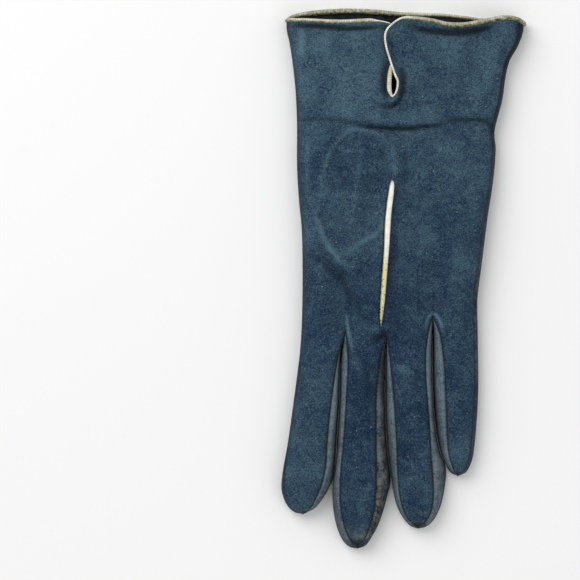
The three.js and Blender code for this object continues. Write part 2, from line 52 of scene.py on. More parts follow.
# Leather, in millimetres
WALL = 1.0
SIDE_HEIGHT = 3.4
LOWER_SEAM = 3.4
SEAM_DROP = 1.3
FOLD_RADIUS = 14.0

# Dark marks along seams, painted shade along folds, curl of the palm at its seams, and how a fingertip
# closes
SEAM_MARK = 0.42
FOLD_SHADE_WIDTH = 1.25
PALM_CURL = 3.6
TIP_START = 0.75
SOLE_TIP_START = 0.9
TIP_POWER = 2.4

# Groove of the outer seam, and how strongly the painted shade darkens the folds and the painted highlight
# pales the ridges
GROOVE_DEPTH = 0.45
FOLD_SHADE_STRENGTH = 1.25
RIDGE_HIGHLIGHT_STRENGTH = 1.7

# Share of the hand's length after which its columns turn towards the fingers
FOOT_START = 0.86

# Grid sizes
HAND_ROWS = 150
FINGER_ROWS = 88
BACK_COLUMNS = 28
PALM_COLUMNS = 15
STRIP_COLUMNS = 11
THUMB_RINGS = 96
THUMB_SIDES = 56
SLIT_ROWS = 120
SLIT_COLUMNS = 17

# Where the fingers part: outer edges and crotches
OUTER_LEFT = (300, 352)
INDEX_CROTCH = (345.5, 331)
MIDDLE_CROTCH = (387, 338)
RING_CROTCH = (433, 318)
OUTER_RIGHT = (478, 310)

# Outline of the hand, from the cuff to the fingers
LEFT_EDGE = [(286.4, 19.6), (286.8, 30), (289.5, 42), (292.5, 62), (295.5, 90), (297, 125), (297, 165),
             (299, 200), (302, 235), (302.5, 290), (301.5, 330), OUTER_LEFT]
RIGHT_EDGE = [(525, 23.2), (523.5, 33), (518.5, 46), (510.5, 60), (506.5, 76), (503, 100), (495.5, 130),
              (496.5, 150), (494, 180), (488, 220), (483, 260), (478.5, 295), OUTER_RIGHT]

# Cuff: edge of the back left and right of the vent, and of the palm, which stands past them
VENT_TOP = 24
CUFF_LEFT = [(286.4, 19.6), (314.6, 21), (341.4, 22.3), (370, 21), (381, 22), (390, VENT_TOP)]
CUFF_RIGHT = [(393, VENT_TOP), (398, 20.5), (405.7, 18.2), (430.7, 21), (448.6, 25), (466.4, 25),
              (484.3, 21.5), (502, 18.3), (515, 18.8), (525, 23.2)]
CUFF_PALM = [(286.4, 19.6), (291, 16.4), (300.4, 13.6), (323.6, 11), (350.4, 9.8), (377, 11), (404, 13.2),
             (430.7, 13.4), (448.6, 14.3), (466.4, 16.4), (484, 18.6), (505, 20), (525, 23.2)]

# Vent: free edge of the right flap, which lies over the left lip, and the lip itself
VENT_FOOT = 97.5
FLAP_EDGE = [(393, VENT_TOP), (388, 28.6), (385, 35.7), (386, 46.4), (389.6, 59), (395, 75), (397.7, 81),
             (397.2, 89), (395.2, 94.6), (392, VENT_FOOT)]
LIP_EDGE = [(390, VENT_TOP), (390.5, 35), (391.5, 50), (392, 62), (391.2, 68), (389.4, 77), (389.2, 90),
            (392, VENT_FOOT)]
FLAP_RAISE = 1.9
LIP_SINK = 0.5

# Middle line of the back below the vent, with the long slit on it
MIDDLE_LINE = [(392, VENT_FOOT), (393.5, 130), (392, 179), (388, 215), (386, 250), (383, 290), (381, 328),
               MIDDLE_CROTCH]
SLIT_TOP = 179
SLIT_FOOT = 328
SLIT_HALVES = [(179, 0), (181, 1.3), (185, 2.4), (195, 2.9), (225, 3.0), (252, 2.6), (285, 2.5), (303, 2.2),
               (318, 1.5), (328, 0)]

# Fingers: edges of the back panel and of the palm panel, from crotch to tip.
# A side whose back and palm edges are one run is a fold, the others take a side strip.
INDEX_TIP = (302, 514.5)
MIDDLE_TIP = (358, 549.5)
RING_TIP = (418.5, 529.5)
LITTLE_TIP = (459, 476.5)
MIDDLE_BACK_TIP = (357.5, 545)
RING_BACK_TIP = (418, 526)
INDEX_FOLD = [OUTER_LEFT, (298.6, 364), (294, 399), (288, 442), (283, 470), (281.3, 488), (284, 500),
              (289, 508.5), (295, 513.2), INDEX_TIP]
LITTLE_FOLD = [OUTER_RIGHT, (478.6, 344), (479, 390), (477, 427), (474.5, 452), (472, 463), (467, 472.5),
               LITTLE_TIP]
FINGERS = {
    "index": {
        "back_left": INDEX_FOLD,
        "back_right": [INDEX_CROTCH, (339.5, 351), (335, 374), (330, 411), (327, 442), (325.5, 466),
                       (321.5, 484), (315, 500), (309, 510), INDEX_TIP],
        "palm_left": INDEX_FOLD,
        "palm_right": [INDEX_CROTCH, (341, 345), (339.6, 360), (339, 399.5), (337.3, 429), (335.6, 455),
                       (333, 479), (328.5, 490), (322, 500.5), (313.5, 510), INDEX_TIP],
        "pale": 0.17, "worn": 0.3, "back_tip": 3.8, "palm_tip": 3.8,
    },
    "middle": {
        "back_left": [INDEX_CROTCH, (348, 359), (347, 388), (344, 436), (341, 470), (340, 497), (342, 516),
                      (346, 531), (351, 541), MIDDLE_BACK_TIP],
        "back_right": [MIDDLE_CROTCH, (381.5, 351), (378, 374), (376, 399), (376, 436), (376, 473),
                       (375, 501), (372, 518), (368, 531), (364, 540), MIDDLE_BACK_TIP],
        "palm_left": [INDEX_CROTCH, (342, 345), (340.6, 360), (340, 399.5), (338.3, 429), (336.8, 455),
                      (333.4, 480), (332.6, 497), (334.3, 516), (338.5, 532), (343.5, 542), (350, 547.8),
                      MIDDLE_TIP],
        "palm_right": [MIDDLE_CROTCH, (385.6, 355), (384.9, 399), (386.1, 436), (388.2, 460), (391, 480),
                       (387.6, 497), (383.6, 512), (378.5, 526), (372, 538), (366, 546.3), MIDDLE_TIP],
        "pale": -0.04, "worn": 0.6, "back_tip": 5.6, "palm_tip": 3.6,
    },
    "ring": {
        "back_left": [MIDDLE_CROTCH, (389.4, 356), (391.5, 374), (395, 411), (397, 448), (398, 477),
                      (399.5, 494), (403, 509), (409, 520.5), RING_BACK_TIP],
        "back_right": [RING_CROTCH, (429, 329), (425.6, 351), (426, 381), (429, 418), (431, 455),
                       (433, 483), (433, 500), (430.5, 513), (425.5, 522), RING_BACK_TIP],
        "palm_left": [MIDDLE_CROTCH, (386.4, 355), (385.9, 399), (387.1, 436), (389.2, 460), (392, 480),
                      (394, 494), (398, 508.5), (404.5, 520), (411, 526.8), RING_TIP],
        "palm_right": [RING_CROTCH, (432.6, 335), (432.5, 374), (434.5, 418), (439.4, 449), (446.3, 468),
                       (446, 483), (443.3, 499), (440, 510), (434.5, 520.5), (427, 527.3), RING_TIP],
        "pale": -0.04, "worn": 0.35, "back_tip": 5.6, "palm_tip": 3.6,
    },
    "little": {
        "back_left": [RING_CROTCH, (440, 335), (444, 362), (446, 399), (447, 429), (448.5, 451), (451, 462),
                      (454.5, 471), LITTLE_TIP],
        "back_right": LITTLE_FOLD,
        "palm_left": [RING_CROTCH, (433.4, 335), (433.5, 374), (435.5, 418), (440.4, 449), (446.8, 466),
                      (451.5, 473.5), LITTLE_TIP],
        "palm_right": LITTLE_FOLD,
        "pale": 0.1, "worn": 0.3, "back_tip": 3.8, "palm_tip": 3.8,
    },
}

# Side strips: the node that each stands for, its finger and side, how pale and how soiled it is, and
# how dark the painted shade is at its crotch
STRIPS = [dict(zip(("node", "finger", "side", "pale", "soil", "dark"), row)) for row in (
    ("fourchette_index", "index", "right", 0.85, 0.6, 0.35),
    ("fourchette_middle_left", "middle", "left", 0.62, 0.4, 0.0),
    ("fourchette_middle_right", "middle", "right", 0.25, 1.0, 0.75),
    ("fourchette_ring_left", "ring", "left", 0.6, 0.2, 0.0),
    ("fourchette_ring_right", "ring", "right", 0.72, 0.6, 0.2),
    ("fourchette_little", "little", "left", 0.62, 0.1, 0.0),
)]

# Folded thumb under the palm: places down, its middle line and half width there, then the hole where
# it is sewn in
THUMB_ROWS = [(133.3, 356.7, 9.0), (140, 356.7, 19), (152.7, 356.7, 26), (175.5, 356.7, 28.9),
              (206.8, 357.8, 28.9), (238, 363.6, 27.4), (266, 372.3, 23.1),
              (283.6, 379.8, 17.3), (295.5, 384.4, 11), (302.2, 386.7, 5.8)]
THUMB_HEIGHT = 4.4
THUMB_LIFT = 4.7
THUMB_MARGIN = 4.2
THUMB_DRAPE = 7.0
HOLE_CENTRE = (356.7, 194.7)
HOLE_HALF = (20, 53.3)

# Height of the back along the glove, in millimetres
BACK_HEIGHTS = [(10, 13.0), (60, 12.9), (110, 12.9), (145, 13.3), (175, 14.1), (205, 14.7), (235, 14.9),
                (265, 14.7), (295, 14.1), (325, 13.3), (355, 12.8), (400, 12.5), (450, 12.4), (550, 12.2)]

# Folds and ridges of the back: line, width in pixels, height in millimetres, below 0 for a fold, and
# tone, which is painted light: above 0 a painted highlight on a ridge, below 0 painted shade in a fold
# or beside an edge. The last two are picked by their places in a row.
AS_HEIGHT = 2
AS_PAINTED_LIGHT = 3
RELIEF = [
    ([(318, 212), (325, 166), (338, 141), (359, 129.5), (385, 136)], 2.0, 0.8, 0.4),
    ([(350, 236), (354.5, 198), (360.4, 164), (363, 139)], 2.0, 0.4, 0.2),
    ([(309, 122), (307.6, 150), (307.6, 195), (313.5, 210)], 2.0, 0.35, 0.25),
    ([(313.5, 207), (322.3, 234.6), (332.5, 252.2), (345.7, 265.4), (357, 268)], 2.8, 0.9, 0.45),
    ([(343, 257), (363.3, 242), (378, 231.7), (384, 219)], 1.9, 0.7, 0.38),
    ([(317, 238), (323.7, 259.6), (336.9, 272.8), (348.7, 291.8), (364, 316)], 5, -0.8, -0.42),
    ([(366, 160), (370, 180), (366, 205)], 8, -0.2, -0.12),
    ([(284, 116), (303, 119), (334, 120), (356, 124.7), (378, 128.3), (400, 128.5), (422, 127),
      (456, 122)], 2.4, -1.0, -0.55),
    ([(362, 126.5), (400, 129), (425, 127), (444, 124.5)], 2.0, -0.8, -1.0),
    ([(446, 121), (470, 120), (486, 122), (494, 134)], 2.8, -0.6, -0.7),
    ([(320, 113), (360, 117), (400, 119), (450, 114)], 6, 0.5, 0.08),
    ([(389, 331), (383, 335.5), (373, 342)], 2.3, -1.3, -0.85),
    ([(380, 322), (374, 330), (366, 333)], 4, 0.5, 0.15),
    ([(303, 28), (302, 42), (303, 60)], 4, 0.7, 0.42),
    ([(309, 24), (308, 44), (309, 66)], 4, -0.5, -0.1),
    ([(330, 24), (327, 50), (328, 80)], 7, 0.4, 0.05),
    ([(382, 107.5), (388, 108), (394, 105.5), (399.5, 100), (403, 91)], 2.3, -1.4, -0.95),
    ([(377, 101), (388, 102), (396, 99), (400, 93)], 2.2, 0.8, 0.25),
    ([(387.5, 60), (384.2, 76), (384.4, 92), (388, 101)], 3.8, -0.5, -0.85),
    ([(401, 66), (403, 84), (400, 99)], 3.8, -0.4, -0.9),
    ([(392, 31), (389.6, 38), (391, 50), (396, 66)], 1.8, 0.0, -0.5),
    ([(412, 27.5), (422, 30), (440, 32), (460, 32.6), (478, 30.5), (494, 26)], 3.1, -0.9, -1.9),
    ([(287, 25.2), (320, 27), (352, 29), (384, 27)], 2.4, -0.6, -1.5),
    ([(470, 42), (466, 66), (462, 90)], 9, -0.4, -0.05),
    ([(500, 36), (493, 60), (487, 95)], 6, 0.5, 0.12),
    ([(420, 44), (424, 64), (432, 92)], 10, 0.35, 0.0),
    ([(403, 148), (405, 168), (402, 192)], 5, -0.3, -0.4),
    ([(381, 146), (382, 158), (380, 170)], 4.5, -0.2, -0.25),
    ([(391, 137), (394, 158), (394, 177)], 2.4, 0.4, 0.22),
    ([(398, 190), (394.5, 240), (392, 270), (389.5, 320)], 4, -0.7, -0.42),
    ([(384, 186), (380, 230), (377, 270), (374, 310)], 5, 0.35, 0.05),
    ([(340, 325), (334, 300), (330, 270)], 12, -0.4, -0.08),
    ([(433, 314), (431, 290), (430, 262)], 10, -0.5, -0.06),
    ([(408, 322), (408, 296), (410, 268)], 12, 0.4, 0.0),
    ([(455, 300), (456, 270), (460, 236)], 11, 0.4, 0.08),
    ([(346, 312), (347.5, 329), (352.5, 352)], 1.9, 0.4, 0.6),
    ([(338, 330), (338, 352), (334, 384)], 4.5, 0.0, -0.2),
    ([(352, 354), (358, 367), (362, 380)], 5, 0.1, 0.28),
    ([(366, 360), (369, 390), (370, 424)], 5, 0.0, -0.25),
    ([(390, 368), (402, 369), (413, 375)], 4, 0.2, 0.28),
    ([(415, 364), (420, 400), (421, 438)], 4.5, 0.0, -0.25),
    ([(425, 331), (427.5, 319), (433, 313.5), (438.5, 319), (444, 334)], 1.3, 0.3, 0.75),
    ([(287, 452), (285, 472), (285, 491), (289, 505)], 0.9, 0.0, -0.55),
]

# How pale the nap is down the hand, left and right of the middle, and on the strip past the outer seam
HAND_TONES = [(10, 0.5, 0.38), (60, 0.5, 0.34), (108, 0.42, 0.3), (135, 0.2, 0.24), (170, 0.16, 0.24),
              (230, 0.27, 0.18), (290, 0.02, 0.15), (350, 0.0, 0.08)]
OUTER_TONES = [(20, -1.1), (58, -1.1), (80, -0.2), (200, 0.1), (262, 0.45), (296, 0.55), (304, -0.8),
               (312, 0.5), (370, 0.55), (405, 0.15), (470, 0.05)]

# Rolled binding along each edge: share of the way along it, radius in millimetres, soil all round,
# and extra olive and rust darkening on the side towards the fingers
PALM_ROLL = [(0, 0.8, 0.6, 0.4), (0.12, 1.25, 0.65, 0.5), (0.42, 1.25, 0.65, 0.5), (0.55, 1.05, 0.3, 0.5),
             (0.68, 0.85, 0.3, 0.6), (0.8, 0.8, 0.5, 0.6), (1, 1.1, 0.7, 0.4)]
FLAP_TOP_ROLL = [(0, 1.1, 0.6, 0.4), (0.3, 1.15, 0.55, 0.5), (0.6, 1.15, 0.6, 0.7), (0.84, 1.0, 0.5, 0.7),
                 (0.92, 0.6, 0.05, 0.3), (1, 0.5, 0, 0.1)]
FLAP_ROLL = [(0, 0.5, 0, 0.1), (0.7, 0.55, 0, 0.1), (1, 0.55, 0.1, 0.1)]
LIP_ROLL = [(0, 0.6, 0.1, 0.1), (0.12, 1.1, 0.25, 0.1), (0.4, 1.05, 0.3, 0.1), (0.48, 0.6, 0.2, 0),
            (1, 0.45, 0, 0)]
LEFT_TOP_ROLL = [(0, 0.45, 0, 0), (0.12, 0.5, 0, 0.1), (0.17, 1.05, 0.4, 1), (0.45, 1.0, 0.35, 1),
                 (0.8, 0.85, 0.3, 0.9), (1, 0.8, 0.6, 0.6)]

# Ribs of the roll, and the seam threads
RIB_PITCH = 1.1
ROLL_RINGS = 900
ROLL_SIDES = 12
STITCH_PITCH = 1.7
STITCH_LENGTH = 0.95
STITCH_RADIUS = 0.16
STITCH_RINGS = 4
STITCH_SIDES = 6
OUTER_SEAM = 4.2


# Curves and steps
def spline(points, steps=24):
    """Smooth run through given points: each stretch is the Catmull-Rom cubic of four neighbours."""
    chosen = np.asarray(points, float)
    wide = np.vstack([2 * chosen[0] - chosen[1], chosen, 2 * chosen[-1] - chosen[-2]])
    t = np.linspace(0, 1, steps, endpoint=False)[None, :, None]
    a, b, c, d = (wide[i:len(wide) - 3 + i, None, :] for i in range(4))
    run = 0.5 * (2 * b + (c - a) * t + (2 * a - 5 * b + 4 * c - d) * t**2 + (3 * b - a - 3 * c + d) * t**3)
    return np.vstack([run.reshape(-1, chosen.shape[1]), chosen[-1]])


def lengths(run):
    """Length of a run up to each of its places."""
    return np.r_[0, np.cumsum(np.linalg.norm(np.diff(run, axis=0), axis=1))]


def rows_at(run, length, at):
    """Rows of a run at the given lengths, straight between those of its own rows."""
    return np.stack([np.interp(at, length, column) for column in run.T], -1)


def unit(vectors):
    """Vectors of length 1."""
    return vectors / np.linalg.norm(vectors, axis=1)[:, None]


def along(points, shares):
    """Places at the given shares of a smooth run's own length."""
    run = spline(points)
    length = lengths(run)
    return rows_at(run, length, shares * length[-1])


def across_at(points, down):
    """Across place of a smooth run at the given places down the photograph."""
    run = spline(points)
    return np.interp(down, run[:, 1], run[:, 0])


def down_at(points, across):
    """Down place of a smooth run at the given places across the photograph."""
    run = spline(points)
    return np.interp(across, run[:, 0], run[:, 1])


def smooth(value, start, end):
    """0 before start, 1 after end, with level ends between: 3 t^2 - 2 t^3."""
    t = np.clip((value - start) / (end - start), 0, 1)
    return t * t * (3 - 2 * t)


def bell(distance, width):
    """Gaussian bell: exp(-(d / w)^2)."""
    return np.exp(-((distance / width) ** 2))


def mix(low, high, share):
    """Value that share of the way from low to high."""
    return low + (high - low) * share


def looked_up(table, at, column=1):
    """A column of a table at the given places of its first one, straight between its rows."""
    columns = np.array(table, float).T
    return np.interp(at, columns[0], columns[column])


def both_ends(count):
    """Shares from 0 to 1, close together at both ends: half of 1 - cos(pi t)."""
    return 0.5 - 0.5 * np.cos(np.pi * np.linspace(0, 1, count + 1))


# Heights
def crown(distance):
    """Rise of a folded edge: (1 - (1 - d / r)^3)^0.45 of the full height at d from the fold."""
    return (1 - (1 - np.clip(distance / FOLD_RADIUS, 0, 1)) ** 3) ** 0.45


def curl(distance, width):
    """Rise of the underside towards its edge: 1 - sqrt(1 - (1 - d / w)^3)."""
    return 1 - np.sqrt(1 - (1 - np.clip(distance / width, 0, 1)) ** 3)


def seam_drop(distance):
    """Fall of a panel towards its seam: SEAM_DROP times exp(-d / 1.7 mm), and a turned edge 0.35 mm deep."""
    return SEAM_DROP * np.exp(-distance / 1.7) + 0.35 * bell(distance, 0.45)


def ridge(across, down, line, width, height):
    """Gaussian ridge on a line, thinning to its two ends with the sine of the way along it."""
    shares = np.linspace(0, 1, 60)
    places = along(line, shares)
    gaps = np.hypot(across[..., None] - places[:, 0], down[..., None] - places[:, 1])
    nearest = gaps.argmin(-1)
    ease = np.sin(np.pi * np.clip(shares[nearest], 0.04, 0.96)) ** 0.6
    return height * ease * bell(gaps.min(-1), width)


def folds(across, down, part):
    """Sum of every fold and ridge of the back, as its height or as its painted highlight and shade."""
    return sum(ridge(across, down, row[0], row[1], row[part]) for row in RELIEF if row[part])


def hole_reach(across, down):
    """Distance from the middle of the thumb's oval hole, 1 on its rim."""
    return np.hypot((across - HOLE_CENTRE[0]) / HOLE_HALF[0], (down - HOLE_CENTRE[1]) / HOLE_HALF[1])


def thumb_lift(across, down):
    """Lift of the leather over the thumb: full to THUMB_MARGIN past its outline, and gone after
    THUMB_DRAPE more."""
    beside = np.maximum(np.abs(across - looked_up(THUMB_ROWS, down)) - looked_up(THUMB_ROWS, down, 2), 0)
    beyond = np.maximum(np.maximum(THUMB_ROWS[0][0] - down, down - THUMB_ROWS[-1][0]), 0)
    away = np.hypot(beside, beyond) * PIXEL - THUMB_MARGIN
    return THUMB_LIFT * (1 - smooth(away, 0, THUMB_DRAPE))


def back_top(across, down):
    """Height of the back away from its folds: the table along the glove, the thumb's print, the
    folds, and slow waves of a few tenths of a millimetre."""
    top = looked_up(BACK_HEIGHTS, down) + 0.17 * thumb_lift(across, down)
    waves = 0.16 * np.sin(across / 17 + down / 43) * np.sin(down / 24 - across / 61)
    ripples = 0.05 * np.sin(across / 5.3 + 1.3 * np.sin(down / 9)) * np.sin(down / 7.1 + across / 31)
    return top + folds(across, down, AS_HEIGHT) + waves + ripples


# Hand
def hand_rows():
    """Shares of the way down the hand, as one column."""
    return np.linspace(0, 1, HAND_ROWS + 1)[:, None]


def slit_half(down):
    """Half width of the slit down the photograph."""
    return looked_up(SLIT_HALVES, down)


def middle_left(down):
    """Right edge of the back's left half: the vent's lip, then the left rim of the slit."""
    line = across_at(MIDDLE_LINE, down) - slit_half(down)
    return np.where(down < VENT_FOOT, across_at(LIP_EDGE, down), line)


def middle_right(down):
    """Left edge of the back's right half: the vent's flap, then the right rim of the slit."""
    line = across_at(MIDDLE_LINE, down) + slit_half(down)
    return np.where(down < VENT_FOOT, across_at(FLAP_EDGE, down), line)


def left_edge(down):
    """Across place of the index side's fold."""
    return across_at(LEFT_EDGE, down)


def right_edge(down):
    """Across place of the little finger side's fold."""
    return across_at(RIGHT_EDGE, down)


def hand_grid(feet, left, right, cuff):
    """Sheet of the hand: a column keeps its share of the way from the left edge to the right one,
    and runs straight down the photograph from the cuff's edge to its foot on the fingers."""
    share = (feet[:, 0] - left(feet[:, 1])) / (right(feet[:, 1]) - left(feet[:, 1]))
    start = np.full(len(feet), float(VENT_TOP))
    for _ in range(4):
        start = down_at(cuff, mix(left(start), right(start), share))
    down = mix(start, feet[:, 1], hand_rows())
    return mix(left(down), right(down), share), down


def feet_of(names, key_left, key_right, columns):
    """Feet of the columns on the fingers' first rows, with the gap in mm to each finger's two sides."""
    share = both_ends(columns)
    places, to_left, to_right = [], [], []
    for name in names:
        start = np.array(FINGERS[name][key_left][0], float)
        end = np.array(FINGERS[name][key_right][0], float)
        places.append(mix(start, end, share[:, None]))
        to_left.append(np.linalg.norm(places[-1] - start, axis=1) * PIXEL)
        to_right.append(np.linalg.norm(places[-1] - end, axis=1) * PIXEL)
    return np.vstack(places), np.concatenate(to_left), np.concatenate(to_right)


def hand_tone(down, half):
    """How pale the navy is along the left or the right half of the hand: palest at the cuff."""
    return looked_up(HAND_TONES, down, 1 if half == "left" else 2)


def outer_seam(down, line):
    """Groove of the outer seam, a bell over the pixels from it, and the rubbed and dark shares of the
    narrow strip past it."""
    tone = looked_up(OUTER_TONES, down) * (1 - smooth(line, -0.7, 0.4))
    return bell(line, 0.9), np.clip(tone, 0, 1), np.maximum(-tone, 0)


def middle_shadow(across, down, half):
    """Dark marks beside the middle line: soft on the slit's right rim, near black on its left one, and
    the shadow of the vent's flap on the lip."""
    on_slit = smooth(down, 176, 190) * (1 - smooth(down, 320, 332))
    if half == "right":
        return 0.62 * bell(across - middle_right(down), 3.0) * on_slit
    gap = middle_left(down) - across
    return bell(gap, 1.3) * on_slit + 0.75 * np.exp(-gap / 5) * (1 - smooth(down, 84, 104))


def from_folds(across, down, feet, near_foot):
    """Millimetres from the left and from the right side fold, which turn to the distances along the
    fingers' first rows as near_foot goes to 1."""
    gaps = (across - left_edge(down), right_edge(down) - across)
    ends = (np.linalg.norm(feet - corner, axis=1) for corner in (OUTER_LEFT, OUTER_RIGHT))
    return [mix(gap * PIXEL, end * PIXEL, near_foot) for gap, end in zip(gaps, ends)]


def outside(inside):
    """Faces of a grid to keep: all but those with four corners inside a hole."""
    return ~(inside[:-1, :-1] & inside[1:, :-1] & inside[:-1, 1:] & inside[1:, 1:])


def fold_shade(distance):
    """Painted shade along a fold, a bell FOLD_SHADE_WIDTH wide."""
    return 0.8 * bell(distance, FOLD_SHADE_WIDTH)


def panel_edge(name, to_left, to_right, share):
    """Dark edges of a finger's panel: its seams, bells SEAM_MARK wide, painted shade along its fold, and its
    tip.
    """
    folded = (name == "index", name == "little")
    seam = np.minimum(99 if folded[0] else to_left, 99 if folded[1] else to_right)
    fold = np.minimum(to_left if folded[0] else 99, to_right if folded[1] else 99)
    edge = np.maximum(bell(seam, SEAM_MARK), fold_shade(fold))
    return np.maximum(edge, 0.85 * smooth(share, 0.95, 0.98))


def hand_back(half):
    """Back of the hand left or right of its middle line. The height rises from the side folds with
    crown(), sinks to the crotches over the last tenth, and lifts along the vent's overlapping flap."""
    names = ("index", "middle") if half == "left" else ("ring", "little")
    feet, to_left, to_right = feet_of(names, "back_left", "back_right", BACK_COLUMNS)
    left, right = (left_edge, middle_left) if half == "left" else (middle_right, right_edge)
    across, down = hand_grid(feet, left, right, CUFF_LEFT if half == "left" else CUFF_RIGHT)
    from_left, from_right = from_folds(across, down, feet, smooth(hand_rows(), FOOT_START, 1))
    rise = crown(from_left) * crown(from_right)
    first = np.arange(len(feet)) <= BACK_COLUMNS
    fold_left = first & (half == "left")
    fold_right = ~first & (half == "right")
    drop = np.where(fold_left, 0, seam_drop(to_left)) + np.where(fold_right, 0, seam_drop(to_right))
    height = SIDE_HEIGHT + (back_top(across, down) - SIDE_HEIGHT) * rise
    height = height - drop * smooth(hand_rows(), 0.9, 1) ** 2
    vent = 1 - smooth(down, 62, VENT_FOOT)
    if half == "right":
        height = height + FLAP_RAISE * np.exp(-(across - middle_right(down)) / 14) * vent
    else:
        height = height - LIP_SINK * np.exp(-(middle_left(down) - across) / 10) * vent
    seam_at = (right_edge(down) - across) - OUTER_SEAM - 2.5 * (1 - smooth(down, 20, 80))
    outer, rubbed, darkened = (part * (half == "right") for part in outer_seam(down, seam_at))
    height = height - GROOVE_DEPTH * outer
    seams_from = np.minimum(np.where(fold_left, 99, to_left), np.where(fold_right, 99, to_right))
    foot_seam = bell(seams_from, SEAM_MARK) * smooth(hand_rows(), 0.985, 1)
    # Painted shade along the side folds
    fold = fold_shade(np.minimum(from_left, from_right))
    # Painted light from RELIEF: its shade in the folds goes to the dark edges, its highlight on the ridges
    # to the pale mark
    tone = folds(across, down, AS_PAINTED_LIGHT)
    edge = 0.9 * outer + middle_shadow(across, down, half) + foot_seam + fold + darkened
    edge = np.clip(edge - FOLD_SHADE_STRENGTH * np.minimum(tone, 0), 0, 1)
    tones = np.concatenate([np.full(BACK_COLUMNS + 1, FINGERS[name]["pale"]) for name in names])
    pale = mix(hand_tone(down, half), tones, smooth(hand_rows(), 0.8, 1)) + RIDGE_HIGHLIGHT_STRENGTH * np.maximum(tone, 0)
    return grid(across, down, height, edge, rubbed, pale)


def hand_palm():
    """Underside of the hand: flat on the floor, curled up at the two side folds and at the crotches,
    and lifted over the folded thumb, with the thumb's oval hole left open."""
    feet, to_left, to_right = feet_of(FINGERS, "palm_left", "palm_right", PALM_COLUMNS)
    across, down = hand_grid(feet, left_edge, right_edge, CUFF_PALM)
    width = mix(8.0, PALM_CURL, smooth(hand_rows(), 0.6, 1))
    from_left, from_right = from_folds(across, down, feet, smooth(hand_rows(), FOOT_START, 1))
    edge_rise = np.clip(curl(from_left, width) + curl(from_right, width), 0, 1)
    crotch = np.clip(curl(to_left, PALM_CURL) + curl(to_right, PALM_CURL), 0, 1)
    inner = crotch * (1 - edge_rise) * smooth(hand_rows(), 0.94, 1)
    side = mix(SIDE_HEIGHT, LOWER_SEAM, smooth(hand_rows(), 0.9, 1))
    height = side * edge_rise + LOWER_SEAM * inner + thumb_lift(across, down) * (1 - edge_rise)
    reach = hole_reach(across, down)
    snap = np.where(np.abs(reach - 1) < 0.05, 1 / np.maximum(reach, 0.5), 1)
    across = HOLE_CENTRE[0] + (across - HOLE_CENTRE[0]) * snap
    down = HOLE_CENTRE[1] + (down - HOLE_CENTRE[1]) * snap
    # Painted shade along the side folds
    edge = fold_shade(np.minimum(from_left, from_right))
    return grid(across, down, height, edge, 0, hand_tone(down, "left") + 0.1, down_facing=True,
                keep=outside((reach * snap) < 1.001))


# Fingers
def finger_shares():
    """Rows of a finger, closing up towards the tip: 1 - (1 - t)^1.5."""
    return 1 - (1 - np.linspace(0, 1, FINGER_ROWS + 1)) ** 1.5


def tip_fall(share):
    """1 along the finger, falling to 0 at the tip over its last quarter: sqrt(1 - t^2.4)."""
    return np.sqrt(1 - np.clip((share - TIP_START) / (1 - TIP_START), 0, 1) ** TIP_POWER)


def finger_panel(name, kind, columns):
    """Places of a finger's back or palm panel, its shares along the finger, and the millimetres to its
    left and right edge."""
    share = finger_shares()[:, None]
    sides = [along(FINGERS[name][kind + side], share[:, 0])[:, None, :] for side in ("_left", "_right")]
    places = mix(*sides, both_ends(columns)[None, :, None])
    return share, places, *(np.linalg.norm(places - side, axis=-1) * PIXEL for side in sides)


def finger_back(name):
    """Back panel of a finger between its two back edges, domed and falling to the tip."""
    finger = FINGERS[name]
    share, places, to_left, to_right = finger_panel(name, "back", BACK_COLUMNS)
    across, down = places[..., 0], places[..., 1]
    fall = tip_fall(share)
    side = mix(finger["back_tip"], SIDE_HEIGHT, fall)
    top = mix(finger["back_tip"], back_top(across, down), fall)
    folded = [name == "index", name == "little"]
    rise = (crown(to_left) if folded[0] else 1) * (crown(to_right) if folded[1] else 1)
    drop = (0 if folded[0] else seam_drop(to_left)) + (0 if folded[1] else seam_drop(to_right))
    height = side + (top - side) * rise - drop * fall
    # Painted light from RELIEF: its shade in the folds darkens the edges, its highlight on the ridges pales
    # the nap
    tone = folds(across, down, AS_PAINTED_LIGHT)
    edge = panel_edge(name, to_left, to_right, share) - FOLD_SHADE_STRENGTH * np.minimum(tone, 0)
    edge = np.clip(edge, 0, 1)
    pale = finger["pale"] + RIDGE_HIGHLIGHT_STRENGTH * np.maximum(tone, 0) + 0.16 * smooth(share, 0.5, 0.85)
    worn = finger["worn"] * smooth(share, 0.86, 0.96) * mix(0.25, 1, both_ends(BACK_COLUMNS)[None, :])
    if name == "little":
        groove, rubbed, darkened = outer_seam(down, to_right / PIXEL - OUTER_SEAM)
        groove = groove * smooth(-share, -0.97, -0.9)
        height = height - GROOVE_DEPTH * groove
        edge = np.maximum(np.maximum(edge, 0.9 * groove), darkened)
        worn = np.maximum(worn, rubbed)
    return grid(across, down, height, edge, worn, pale)


def lower_side(finger, share):
    """Height of a finger's lower seam along it."""
    return mix(finger["palm_tip"], LOWER_SEAM, tip_fall(share))


def finger_palm(name):
    """Palm panel of a finger: flat on the floor, curled up to the lower seams and to the tip."""
    finger = FINGERS[name]
    share, places, to_left, to_right = finger_panel(name, "palm", PALM_COLUMNS)
    side = lower_side(finger, share)
    closing = np.clip((share - SOLE_TIP_START) / (1 - SOLE_TIP_START), 0, 1) ** TIP_POWER
    sole = side * (1 - np.sqrt(1 - closing))
    rise = np.clip(curl(to_left, PALM_CURL) + curl(to_right, PALM_CURL), 0, 1)
    edge = panel_edge(name, to_left, to_right, share)
    return grid(places[..., 0], places[..., 1], sole + (side - sole) * rise, edge, 0,
                finger["pale"] + 0.1, down_facing=True)


